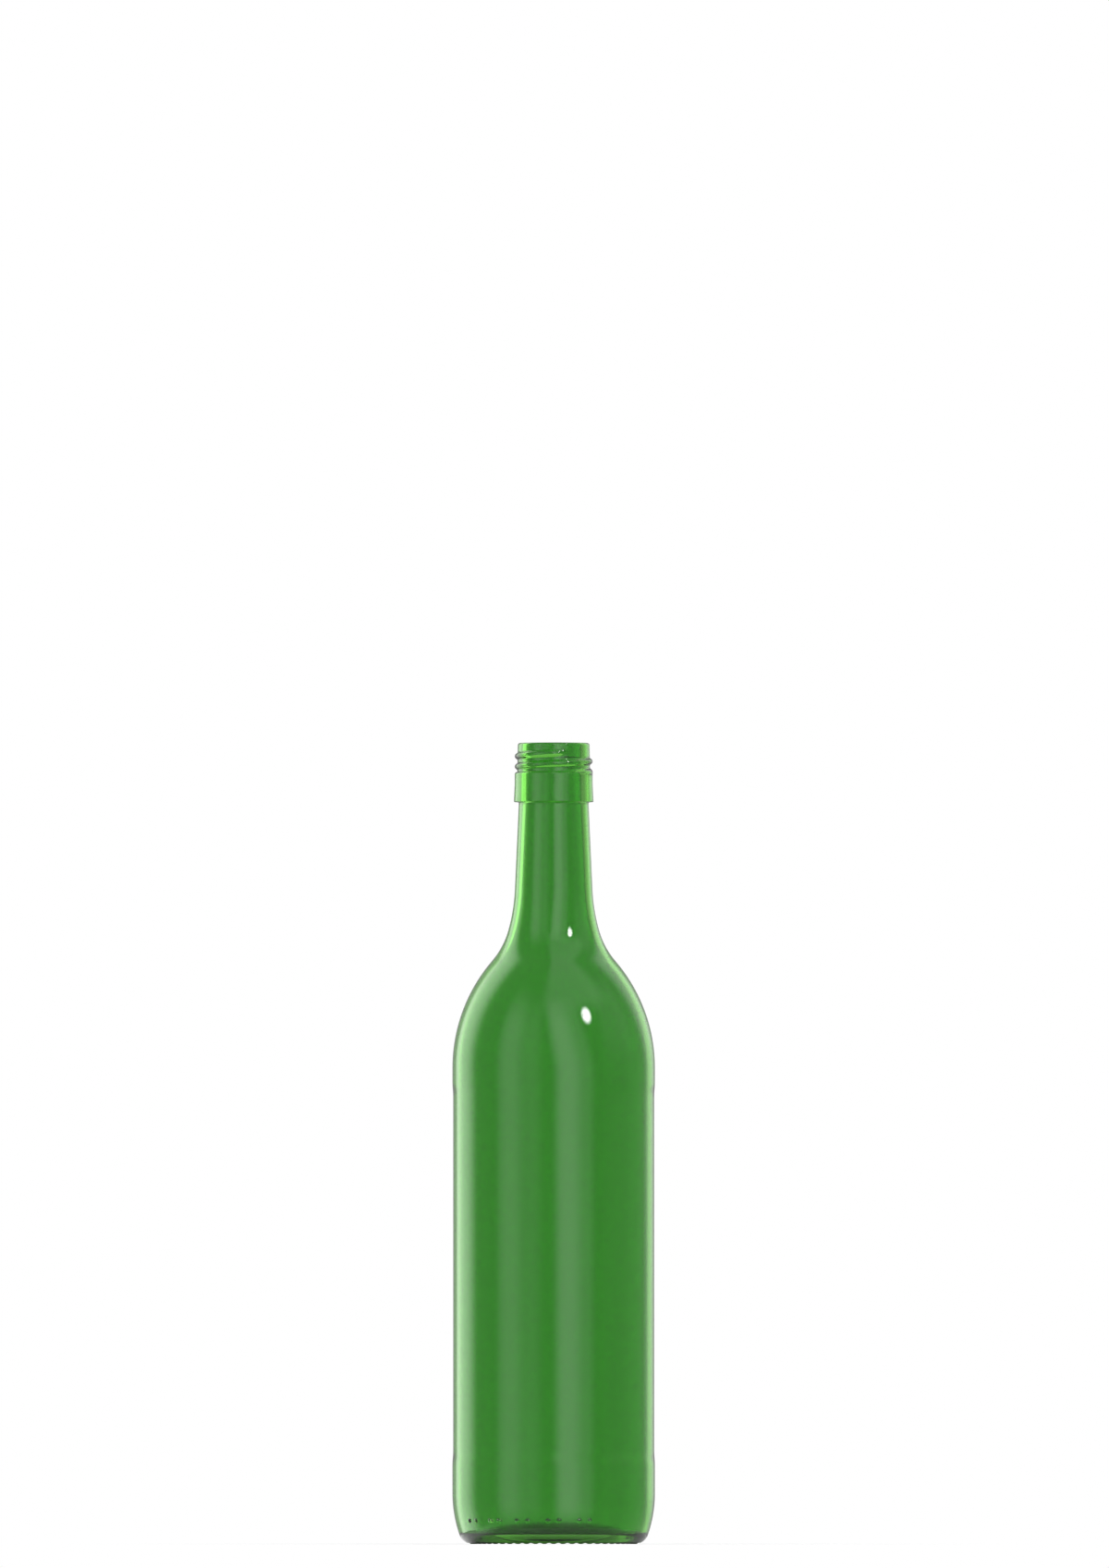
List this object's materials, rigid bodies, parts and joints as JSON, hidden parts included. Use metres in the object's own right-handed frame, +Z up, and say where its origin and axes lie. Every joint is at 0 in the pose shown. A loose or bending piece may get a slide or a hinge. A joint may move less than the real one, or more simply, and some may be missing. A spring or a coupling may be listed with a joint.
{
  "type": "wine bottle",
  "caption": "Upright green glass wine bottle of bordeaux shape with an open screw-thread mouth, collar, round shoulder, straight body and knurled base.",
  "frame": {"origin": "centre of the bearing ring, on the surface that the bottle stands on", "axes": "+Z up along the bottle's axis to the mouth, -Y towards the viewer of the picture, +X to the viewer's right"},
  "size_m": [0.0746, 0.0746, 0.295],
  "materials": {
    "green_glass": "clear, smooth fire-polished glass with a green tint"
  },
  "bodies": {
    "root": {"glass_bottle": "green_glass"}
  },
  "joints": []
}
